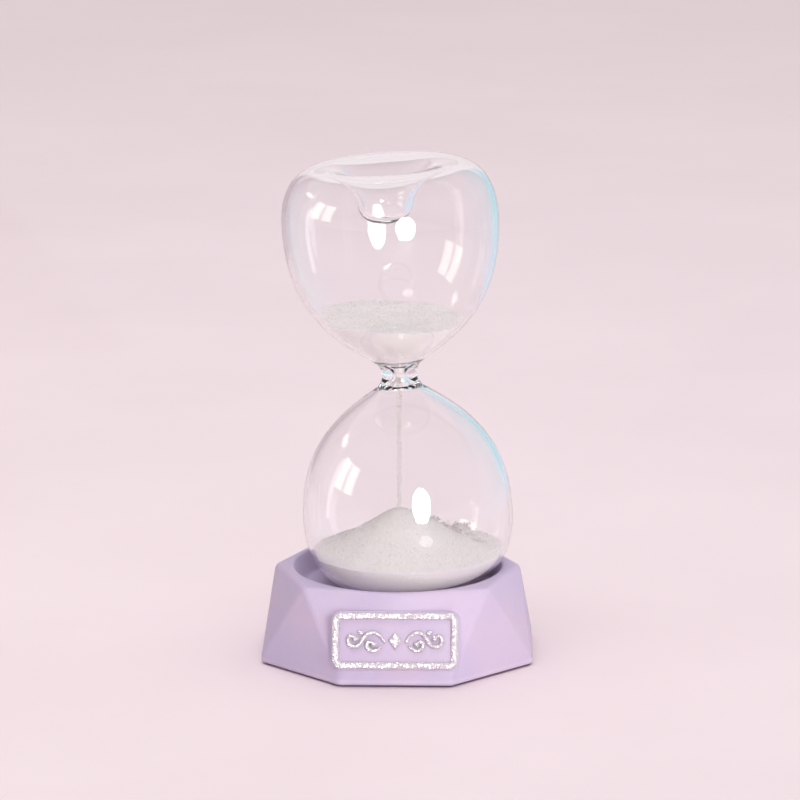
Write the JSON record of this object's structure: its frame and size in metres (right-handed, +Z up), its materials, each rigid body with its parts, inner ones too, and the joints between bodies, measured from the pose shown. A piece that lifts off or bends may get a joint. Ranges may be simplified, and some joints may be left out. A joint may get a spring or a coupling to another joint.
{
  "type": "sand timer",
  "caption": "Hourglass: a loose double-bulb glass, dished at both ends and part filled with white sand, in a faceted lavender base with a glittered plaque",
  "frame": {"origin": "middle of the foot pad's underside, on the base's axis, on the surface that the object stands on", "axes": "+Z up; the plaque faces -Y; +X to the right as seen from the plaque's side"},
  "size_m": [0.0868, 0.0884, 0.1609],
  "materials": {
    "resin": "matte cast resin",
    "plaque_resin": "satin cast resin",
    "glitter_paint": "raised iridescent glitter paint",
    "clear_glass": "clear blown glass",
    "white_sand": "fine sparkling grains",
    "pad_rubber": "soft matte foam rubber"
  },
  "bodies": {
    "base": {"base_body": "resin", "foot_pad": "pad_rubber", "name_plaque": "plaque_resin", "plaque_border": "glitter_paint", "plaque_lozenge": "glitter_paint", "scroll_vine_left": "glitter_paint", "scroll_vine_right": "glitter_paint", "scroll_tendril_left": "glitter_paint", "scroll_tendril_right": "glitter_paint", "scroll_leaf_left": "glitter_paint", "scroll_leaf_right": "glitter_paint"},
    "sand": {"sand_upper": "white_sand", "sand_lower": "white_sand", "sand_stream": "white_sand"},
    "glass": {"upper_bulb": "clear_glass", "lower_bulb": "clear_glass", "neck_joint": "clear_glass", "upper_seal": "clear_glass", "lower_seal": "clear_glass"}
  },
  "joints": [
    {"name": "glass_lift", "type": "slide", "parent": "base", "child": "sand", "axis": [0, 0, 1], "range_m": [0, 0.2]},
    {"name": "glass_turn", "type": "hinge", "parent": "sand", "child": "glass", "pos_m": [0.0005, 0, 0.09147], "axis": [0, 1, 0], "range_deg": [0, 180], "deforming": ["sand_upper", "sand_lower", "sand_stream"]}
  ],
  "couplings": [
    {"joint": "glass_turn", "follows": "glass_lift", "rad_per_m": 15.708}
  ]
}
